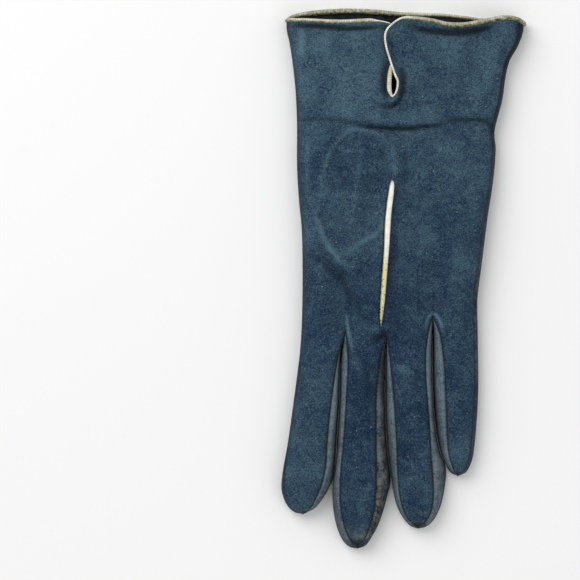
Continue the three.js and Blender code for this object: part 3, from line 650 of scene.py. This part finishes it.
def strip(row):
    """Side strip from the back panel's seam down to the palm panel's: straight across in plan,
    while its height falls with a power of the way, 6 at the crotch and 3 at the tip, so that the
    strips of two fingers bulge out and meet high between them."""
    finger = FINGERS[row["finger"]]
    share = finger_shares()
    panel = panels[row["finger"]]["places"]
    upper = panel[:, 0 if row["side"] == "left" else -1, :]
    lower = along(finger["palm_" + row["side"]], share)
    way = both_ends(STRIP_COLUMNS)[None, :]
    across = mix(upper[:, :1], lower[:, :1], way)
    down = mix(upper[:, 1:2], lower[:, 1:], way)
    fall = tip_fall(share)[:, None]
    low = lower_side(finger, share)[:, None]
    pull = 0.35 * bell(way, 0.1) + 0.25 * bell(1 - way, 0.12)
    power = mix(6.0, 3.0, smooth(share, 0.3, 0.8))[:, None]
    height = mix(upper[:, 2:] - 0.15 * fall, low, way**power) - pull * fall
    height = height + 0.12 * fall * np.sin(down / 6.1 + 2 * way) * np.sin(np.pi * way)
    edge = bell(way, 0.06) + bell(1 - way, 0.13)
    edge = edge + 0.85 * smooth(share, 0.94, 0.985)[:, None]
    # Painted shade down at the crotch, where the strip sinks between the fingers
    edge = edge + row["dark"] * (1 - smooth(share, 0.12, 0.34))[:, None]
    lower_half = smooth(share, 0.25, 0.6)[:, None]
    stain = row["soil"] * mix(0.35, 1.0, lower_half) + 0.6 * smooth(share, 0.95, 0.995)[:, None]
    # Painted light: paler across the top of the bulge a quarter of the way over, and painted shade growing
    # towards the palm seam
    pale = row["pale"] + 0.22 * bell(way - 0.25, 0.16) - 0.2 * way
    return grid(across, down, height, np.clip(edge, 0, 1), np.clip(stain, 0, 1), pale,
                down_facing=row["side"] == "left")


# Meshes
def grid(across, down, height, edge, worn, pale, **flags):
    """A grid of places with three marks for its finish: dark edges, seams and painted shade together,
    wear, and how pale it is, painted highlights included. Its flags are keep for the faces that stay,
    closed where the last column joins the first, and down_facing."""
    layers = np.broadcast_arrays(across, down, height, edge, worn, pale)
    return {"places": np.stack(layers[:3], -1), "marks": np.stack(layers[3:], -1), **flags}


def quads(rows, columns, start, closed, down_facing):
    """Faces of a grid of vertices; closed joins the last column to the first."""
    index = start + np.arange(rows * columns).reshape(rows, columns)
    if closed:
        index = np.hstack([index, index[:, :1]])
    corners = [index[:-1, :-1], index[1:, :-1], index[1:, 1:], index[:-1, 1:]]
    if down_facing:
        corners.reverse()
    return np.stack(corners, -1)


def metres(places):
    """Pixels across and down, and millimetres up, as metres in the glove's frame."""
    across = (places[..., 0] - ORIGIN_X) * PIXEL
    back = (ORIGIN_Y - places[..., 1]) * PIXEL
    return np.stack([across, back, places[..., 2]], -1) * 0.001


def added(name, data):
    """New object of the scene."""
    made = bpy.data.objects.new(name, data)
    bpy.context.scene.collection.objects.link(made)
    return made


def meshed(name, places, faces, materials):
    """New mesh object, from places in metres and faces."""
    mesh = bpy.data.meshes.new(name)
    mesh.from_pydata(places, [], faces)
    for material in materials:
        mesh.materials.append(material)
    return added(name, mesh)


def joined(name, sheets, materials, nodes, wall=0.0):
    """One mesh from several grids, with the vertices that they share merged; with a wall it is given
    its thickness inwards, and the inner side takes the second material."""
    places, marks, faces, start = [], [], [], 0
    for sheet in sheets:
        rows, columns = sheet["places"].shape[:2]
        found = quads(rows, columns, start, sheet.get("closed", False), sheet.get("down_facing", False))
        keep = sheet.get("keep", np.ones(found.shape[:2], bool))
        faces.append(found[keep].reshape(-1, 4))
        places.append(metres(sheet["places"]).reshape(-1, 3))
        marks.append(sheet["marks"].reshape(-1, 3))
        start += rows * columns
    made = meshed(name, np.vstack(places).tolist(), np.vstack(faces).tolist(), materials)
    mesh = made.data
    layer = mesh.attributes.new("marks", "FLOAT_COLOR", "POINT")
    colours = np.hstack([np.vstack(marks), np.ones((start, 1))])
    layer.data.foreach_set("color", colours.astype(np.float32).ravel())
    welded = bmesh.new()
    welded.from_mesh(mesh)
    bmesh.ops.remove_doubles(welded, verts=welded.verts, dist=2e-5)
    bmesh.ops.delete(welded, geom=[v for v in welded.verts if not v.link_faces], context="VERTS")
    welded.to_mesh(mesh)
    welded.free()
    mesh.polygons.foreach_set("use_smooth", np.ones(len(mesh.polygons), bool))
    if wall:
        thick = made.modifiers.new("wall", "SOLIDIFY")
        thick.thickness = wall * 0.001
        thick.offset = -1
        thick.material_offset = len(materials) - 1
    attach(made, "root")
    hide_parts(*nodes)


def circles(beside, square, sides):
    """Circles of radius 1 round the origin, each in the plane of its two directions."""
    turn = 2 * np.pi * np.arange(sides) / sides
    return beside[:, None] * np.cos(turn)[:, None] + square[:, None] * np.sin(turn)[:, None]


def tube(path, radius, sides):
    """Round cord on a path of places in millimetres: a circle of the given radius, square to the path."""
    ahead = unit(np.roll(path, -1, 0) - np.roll(path, 1, 0))
    steep = np.abs(ahead[:, 2:])
    upright = np.array([0, 0, 1.0]) * (1 - steep) + np.array([0, 1.0, 0]) * steep
    beside = unit(np.cross(ahead, upright))
    return path[:, None] + circles(beside, np.cross(beside, ahead), sides) * radius[:, None, None]


# Materials
def linear(code):
    """sRGB hex to linear RGBA."""
    parts = np.array([int(code[i:i + 2], 16) for i in (1, 3, 5)]) / 255
    parts = np.where(parts <= 0.04045, parts / 12.92, ((parts + 0.055) / 1.055) ** 2.4)
    return (*parts.tolist(), 1.0)


def node(tree, kind, values=None, **settings):
    """Adds a node: settings are its own properties, values its sockets by name or number, and a
    socket given as a value is linked."""
    made = tree.nodes.new(kind)
    for key, value in settings.items():
        setattr(made, key, value)
    for key, value in (values or {}).items():
        if isinstance(value, bpy.types.NodeSocket):
            tree.links.new(value, made.inputs[key])
        else:
            made.inputs[key].default_value = value
    return made


def blank(name):
    """A material with its shader and its object coordinates."""
    material = bpy.data.materials.new(name)
    material.use_nodes = True
    tree = material.node_tree
    tree.nodes.clear()
    shader = node(tree, "ShaderNodeBsdfPrincipled")
    node(tree, "ShaderNodeOutputMaterial", {"Surface": shader.outputs["BSDF"]})
    return material, tree, shader, node(tree, "ShaderNodeTexCoord").outputs["Object"]


def marks_of(tree):
    """The three marks of grid(), as sockets."""
    marks = node(tree, "ShaderNodeAttribute", attribute_name="marks").outputs["Color"]
    return tuple(node(tree, "ShaderNodeSeparateColor", {"Color": marks}).outputs)


def noise(tree, place, grain_mm, detail=4.0, roughness=0.55, distortion=0.0):
    """Noise whose grain is about the given size in millimetres."""
    values = {"Vector": place, "Scale": 1000 / grain_mm, "Detail": detail, "Roughness": roughness,
              "Distortion": distortion}
    return node(tree, "ShaderNodeTexNoise", values).outputs["Fac"]


def blend(tree, share, low, high):
    """Colour that share of the way from low to high, each a socket or an sRGB hex value."""
    low, high = (linear(colour) if isinstance(colour, str) else colour for colour in (low, high))
    return node(tree, "ShaderNodeMix", {0: share, 6: low, 7: high}, data_type="RGBA").outputs[2]


def ranged(tree, value, low, high, to_low=0.0, to_high=1.0):
    """Smooth step of a value from one range to another."""
    values = {"Value": value, "From Min": low, "From Max": high, "To Min": to_low, "To Max": to_high}
    return node(tree, "ShaderNodeMapRange", values, interpolation_type="SMOOTHSTEP").outputs["Result"]


def sums(tree, kind, first, second):
    """Sum, difference or product of two values."""
    return node(tree, "ShaderNodeMath", {0: first, 1: second}, operation=kind).outputs[0]


def surface(tree, shader, tint, roughness, specular=0.5):
    """Colour, roughness and specular level of a shader."""
    tree.links.new(tint, shader.inputs["Base Color"])
    shader.inputs["Roughness"].default_value = roughness
    shader.inputs["Specular IOR Level"].default_value = specular


def relief(tree, shader, height, strength, distance_mm):
    """Fine relief of the given depth in millimetres."""
    values = {"Height": height, "Strength": strength, "Distance": distance_mm * 0.001}
    tree.links.new(node(tree, "ShaderNodeBump", values).outputs["Normal"], shader.inputs["Normal"])


def suede(name, deep, pale, lint, stained, rubbed, seam):
    """Napped suede: short fibres brushed this way and that, so the colour drifts from deep to pale in
    patches of some millimetres, with fine specks and lint, no gloss, and a soft sheen at the sides.
    The fibres are drawn 0.6 mm across, coarser than real ones, so that they show. Where it is worn it
    is stained dark and rubbed pale in patches 4 mm across."""
    material, tree, shader, place = blank(name)
    edge, wear, drift = marks_of(tree)
    patches = noise(tree, place, 14, 5, 0.6, 0.4)
    brushed = noise(tree, place, 2.6, 5, 0.62, 0.6)
    fibres = noise(tree, place, 0.6, 4, 0.85)
    layers = ((patches, 0.3, 0.7, 0.2), (brushed, 0.25, 0.75, 0.18), (fibres, 0.15, 0.85, 1.15))
    for pattern, low, high, reach in layers:
        drift = sums(tree, "ADD", drift, ranged(tree, pattern, low, high, -reach, reach))
    colour = blend(tree, ranged(tree, drift, -0.45, 1.45), deep, pale)
    specks = ranged(tree, noise(tree, place, 0.9, 2, 0.5), 0.72, 0.77)
    colour = blend(tree, sums(tree, "MULTIPLY", specks, 0.7), colour, lint)
    stains = blend(tree, ranged(tree, noise(tree, place, 4, 4, 0.65), 0.44, 0.58), stained, rubbed)
    ragged = ranged(tree, noise(tree, place, 1.6, 4, 0.7), 0.36, 0.62, 0.1, 0.9)
    colour = blend(tree, sums(tree, "MULTIPLY", wear, ragged), colour, stains)
    # Dark seams, and the painted shade of folds, creases, crotches and the slit, take the seam colour
    colour = blend(tree, sums(tree, "MULTIPLY", edge, 0.85), colour, seam)
    surface(tree, shader, colour, 0.95, 0.2)
    shader.inputs["Sheen Weight"].default_value = 0.08
    shader.inputs["Sheen Roughness"].default_value = 0.6
    shader.inputs["Sheen Tint"].default_value = linear("#9fb3c0")
    relief(tree, shader, sums(tree, "ADD", sums(tree, "MULTIPLY", fibres, 0.6), brushed), 0.5, 0.25)
    return material


def shaded_flesh_side():
    """Inner, flesh side of the same hide: duller, greyer and coarser than the nap outside, and drawn near
    black, painted shade for the dark inside of the glove.
    """
    material, tree, shader, place = blank("suede_flesh_side")
    coarse = ranged(tree, noise(tree, place, 1.8, 4, 0.6), 0.3, 0.7)
    surface(tree, shader, blend(tree, coarse, "#12161a", "#2c3136"), 1.0, 0.15)
    relief(tree, shader, noise(tree, place, 0.7, 3, 0.6), 0.5, 0.2)
    return material


def rolled_leather():
    """Thin cream leather rolled over a cord: smooth and slightly glossy, with fine ribs across the roll
    RIB_PITCH apart, and olive and rust where it has been handled and on its side towards the fingers."""
    material, tree, shader, place = blank("rolled_cream_leather")
    ribs, soil, _ = marks_of(tree)
    clean = blend(tree, ranged(tree, noise(tree, place, 5, 4, 0.6), 0.35, 0.65), "#fffdec", "#e3dfc4")
    olive_and_rust = blend(tree, ranged(tree, noise(tree, place, 1.6, 4, 0.65), 0.4, 0.6), "#443a24", "#83825c")
    patchy = ranged(tree, noise(tree, place, 1.3, 3, 0.7), 0.3, 0.6, 0.6, 1.3)
    tint = blend(tree, sums(tree, "MULTIPLY", soil, patchy), clean, olive_and_rust)
    tint = blend(tree, sums(tree, "MULTIPLY", ribs, 0.4), tint, "#6d6850")
    surface(tree, shader, tint, 0.5, 0.4)
    relief(tree, shader, sums(tree, "SUBTRACT", noise(tree, place, 0.9, 3, 0.6), ribs), 0.6, 0.15)
    return material


def ivory_leather():
    """Smooth thin ivory leather of the strip behind the slit, with tan specks on its lower half."""
    material, tree, shader, place = blank("ivory_leather")
    turned, lower, _ = marks_of(tree)
    tint = blend(tree, ranged(tree, noise(tree, place, 3, 4, 0.6), 0.35, 0.65), "#fffdf6", "#f0ebda")
    tint = blend(tree, lower, tint, "#e6dfb0")
    specks = ranged(tree, noise(tree, place, 1.0, 3, 0.6), 0.56, 0.64)
    tint = blend(tree, sums(tree, "MULTIPLY", specks, lower), tint, "#6f6544")
    surface(tree, shader, blend(tree, turned, tint, "#6f6962"), 0.55, 0.35)
    relief(tree, shader, noise(tree, place, 0.7, 3, 0.6), 0.35, 0.1)
    return material


def sewing_thread():
    """Dark navy mercerised thread, with a slight twist that catches the light."""
    material, tree, shader, place = blank("sewing_thread")
    twist = ranged(tree, noise(tree, place, 0.3, 2, 0.5), 0.3, 0.7)
    surface(tree, shader, blend(tree, twist, "#141e28", "#2e3d49"), 0.6)
    return material


def pale_floor():
    """Matt white board, very slightly uneven."""
    material, tree, shader, place = blank("pale_floor")
    surface(tree, shader, blend(tree, noise(tree, place, 400, 2, 0.5), "#fbfbfb", "#ffffff"), 0.9, 0.1)
    return material


# The last colour of each suede serves its dark seams and its painted shade
navy = suede("navy_suede", "#07203a", "#54707f", "#a5b5be", "#17181b", "#8b8a80", "#060a10")
greyer = suede("side_suede", "#111c25", "#70838f", "#a3b0b6", "#1f2020", "#6f6a61", "#060a0f")
flesh = shaded_flesh_side()
binding_leather = rolled_leather()
ivory = ivory_leather()
thread = sewing_thread()

# Trank
back_left = hand_back("left")
back_right = hand_back("right")
palm = hand_palm()
panels = {name: finger_back(name) for name in FINGERS}
soles = {name: finger_palm(name) for name in FINGERS}
joined("trank_suede", [back_left, back_right, palm, *panels.values(), *soles.values()], [navy, flesh],
       ["trank_back", "trank_palm"], WALL)

# Side strips
for row in STRIPS:
    joined(row["node"] + "_suede", [strip(row)], [greyer, flesh], [row["node"]], 0.5)


# Thumb
def thumb_pouch():
    """Flat pouch: rings of a flattened oval whose width follows THUMB_ROWS, its corners rounder above
    than below, with shallow creases across it, and its upper side open at the oval hole."""
    share = both_ends(THUMB_RINGS)
    rows = along([(middle, down, half) for down, middle, half in THUMB_ROWS], share)
    round_off = np.minimum(np.sqrt(1 - (1 - np.clip(share / 0.04, 0, 1)) ** 2),
                           np.sqrt(1 - (1 - np.clip((1 - share) / 0.05, 0, 1)) ** 2))
    turn = 2 * np.pi * (np.arange(THUMB_SIDES) + 0.5) / THUMB_SIDES
    reach = np.sign(np.cos(turn)) * np.abs(np.cos(turn)) ** 0.8
    across = rows[:, :1] + rows[:, 2:] * round_off[:, None] * reach
    down = rows[:, 1:2]
    bow = np.sign(np.sin(turn)) * np.abs(np.sin(turn)) ** np.where(np.sin(turn) > 0, 0.55, 0.3)
    half = THUMB_HEIGHT / 2 * round_off[:, None]
    height = half * (1 + bow) + (THUMB_HEIGHT / 2 - half)
    height = np.where(bow < 0, height, height - 0.12 * np.abs(np.sin(down / 5.2 + across / 23)))
    # Painted shade along the pouch's two folded sides
    edge = 0.8 * bell(np.sin(turn), 0.12)
    inside = (hole_reach(across, down) < 1) & (height > THUMB_HEIGHT * 0.6)
    return grid(across, down, height, edge, 0, 0.5, closed=True, down_facing=True,
                keep=outside(np.hstack([inside, inside[:, :1]])))


joined("thumb_suede", [thumb_pouch()], [navy, flesh], ["thumb"], 0.7)


# Binding
def binding_roll():
    """Roll round the cuff and both edges of the vent: it follows the sheets' own edges, evened over
    a few millimetres so that it turns the corners in small rounds; ribs are a cosine of its length."""
    flap = back_right["places"][:, 0]
    lip = back_left["places"][:, -1]
    flap = flap[flap[:, 1] < VENT_FOOT]
    lip = lip[lip[:, 1] < VENT_FOOT]
    flap_top, left_top = (half["places"][0][::-1] for half in (back_right, back_left))
    runs = [(palm["places"][0], PALM_ROLL), (flap_top[1:], FLAP_TOP_ROLL), (flap[1:], FLAP_ROLL),
            (lip[::-1], LIP_ROLL), (left_top[1:-1], LEFT_TOP_ROLL)]
    places, rolls = [], []
    for run, table in runs:
        placed = run * (PIXEL, -PIXEL, 1)
        way = lengths(placed)
        places.append(placed)
        rolls.append(np.stack([looked_up(table, way / way[-1], column) for column in (1, 2, 3)], -1))
    stations = np.hstack([np.vstack(places), np.vstack(rolls)])
    stations = np.vstack([stations, stations[:1]])
    length = lengths(stations[:, :3])
    step = np.linspace(0, length[-1], ROLL_RINGS, endpoint=False)
    path = rows_at(stations, length, step)
    for _ in range(3):
        path = (np.roll(path, 1, 0) + path + np.roll(path, -1, 0)) / 3
    path, radius, soil, under = path[:, :3], path[:, 3], path[:, 4:5], path[:, 5:]
    radius = radius * (1 + 0.05 * np.sin(step / 2.3) * np.sin(step / 7.7))
    path[:, 2] = np.maximum(path[:, 2] - WALL / 2, radius)
    made = tube(path, radius, ROLL_SIDES)
    towards_fingers = (path[:, None, 1] - made[..., 1]) / radius[:, None]
    ribs = (0.5 + 0.5 * np.cos(2 * np.pi * step / RIB_PITCH)[:, None]) ** 3
    # Olive and rust: soil all round, and darker on the side towards the fingers
    olive_and_rust = np.clip(soil + under * smooth(towards_fingers, -0.1, 0.55), 0, 1)
    made, ribs, olive_and_rust = (np.concatenate([part, part[:1]]) for part in (made, ribs, olive_and_rust))
    return grid(made[..., 0] / PIXEL, -made[..., 1] / PIXEL, made[..., 2], ribs, olive_and_rust, 0, closed=True)


joined("cuff_binding_roll", [binding_roll()], [binding_leather], ["cuff_binding"])


# Strip behind the slit
def slit_strip():
    """Ivory strip behind the slit, bowed up into it, whose right edge is turned over the slit's rim."""
    down = np.linspace(SLIT_TOP - 3, SLIT_FOOT + 4, SLIT_ROWS)[:, None]
    way = np.linspace(-1, 1, SLIT_COLUMNS)[None, :]
    middle = across_at(MIDDLE_LINE, down)
    open_half = slit_half(down)
    half = open_half + 1.6
    across = middle + way * half
    surface = back_top(across, down)
    raised = open_half / SLIT_HALVES[4][1]
    below = 1.35 - 1.15 * np.exp(-((way / 0.7) ** 4)) * raised
    turned = smooth(way, 0.5, 0.62) * (1 - smooth(way, 0.72, 0.9)) * smooth(raised, 0.1, 0.4)
    height = surface - below + turned * 0.9
    return grid(across, down, height, 0.9 * turned, smooth(down, 250, 268), 0)


joined("slit_inset_strip", [slit_strip()], [ivory], ["slit_inset"], 0.4)


# Stitches
def stitches(lines):
    """Short threads along the seams: each a closed six-sided spindle of STITCH_LENGTH, one for each
    STITCH_PITCH of the line, pointing along it. The line is in millimetres."""
    places, faces, start = [], [], 0
    count = STITCH_RINGS * STITCH_SIDES
    ends = np.array([-0.5, -0.3, 0.3, 0.5]) * STITCH_LENGTH
    sizes = np.array([0.35, 1.0, 1.0, 0.35]) * STITCH_RADIUS
    shape = quads(STITCH_RINGS, STITCH_SIDES, 0, True, False).reshape(-1, 4).tolist()
    shape += [list(range(STITCH_SIDES)), list(range(count - 1, count - 1 - STITCH_SIDES, -1))]
    for line in lines:
        length = lengths(line)
        at = np.arange(STITCH_PITCH, length[-1] - STITCH_PITCH, STITCH_PITCH)
        at = at + rng.uniform(-0.08, 0.08, len(at))
        centre = rows_at(line, length, at)
        ahead = unit(rows_at(line, length, at + 0.3) - centre)
        beside = unit(np.cross(ahead, (0, 0, 1.0)))
        rings = circles(beside, np.cross(beside, ahead), STITCH_SIDES)[:, None] * sizes[:, None, None]
        middle = centre[:, None, None] + ahead[:, None, None] * ends[:, None, None]
        places.append((middle + rings).reshape(-1, 3))
        firsts = range(start, start + len(centre) * count, count)
        faces += [[first + corner for corner in face] for first in firsts for face in shape]
        start += len(centre) * count
    made = meshed("seam_stitches", (np.vstack(places) * 0.001).tolist(), faces, [thread])
    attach(made, "root")


def seam_line(places, lift):
    """A seam's places as millimetres, raised a little, and its threads kept off the floor."""
    line = metres(places) * 1000
    line[:, 2] = np.maximum(line[:, 2] + lift, STITCH_RADIUS)
    return line


# Seams of the back on the panels' edges, of the palm three columns in, both to eight rows from the tip
seams = []
for row in STRIPS:
    for sheets, inward, lift in ((panels, 0, 0.02), (soles, 3, -0.02)):
        column = inward if row["side"] == "left" else -1 - inward
        seams.append(seam_line(sheets[row["finger"]]["places"][:-8, column], lift))
stitches(seams)

# Floor, light and camera
corners = [(-3, -3, 0), (3, -3, 0), (3, 3, 0), (-3, 3, 0)]
floor = meshed("floor", corners, [(0, 1, 2, 3)], [pale_floor()])


def soft_light(name, place, size, power):
    """Round soft light, aimed at the glove's origin."""
    lamp = bpy.data.lights.new(name, "AREA")
    lamp.shape = "DISK"
    lamp.size = size
    lamp.energy = power
    made = added(name, lamp)
    made.location = place
    made.rotation_euler = (-Vector(place)).to_track_quat("-Z", "Y").to_euler()


soft_light("key", (-0.8, 0.9, 1.2), 1.4, 15)
soft_light("fill", (0.9, -0.5, 1.4), 1.2, 3)

world = bpy.data.worlds.new("studio")
world.use_nodes = True
world.node_tree.nodes["Background"].inputs["Color"].default_value = (1, 1, 1, 1)
world.node_tree.nodes["Background"].inputs["Strength"].default_value = 0.56
bpy.context.scene.world = world
bpy.context.scene.view_settings.view_transform = "Standard"

# The camera looks straight down on the middle of the photograph, whose scale holds at PLANE_HEIGHT
CAMERA_HEIGHT = 1.7
PLANE_HEIGHT = 0.010
SENSOR = 36
camera_data = bpy.data.cameras.new("camera")
camera_data.sensor_width = SENSOR
camera_data.lens = SENSOR * (CAMERA_HEIGHT - PLANE_HEIGHT) / (PHOTO_SIZE * PIXEL * 0.001)
camera_data.clip_start = 0.05
camera_data.clip_end = 20
camera = added("camera", camera_data)
centre = metres(np.array([PHOTO_SIZE / 2, PHOTO_SIZE / 2, 0.0]))
camera.location = (centre[0], centre[1], CAMERA_HEIGHT)
bpy.context.scene.camera = camera
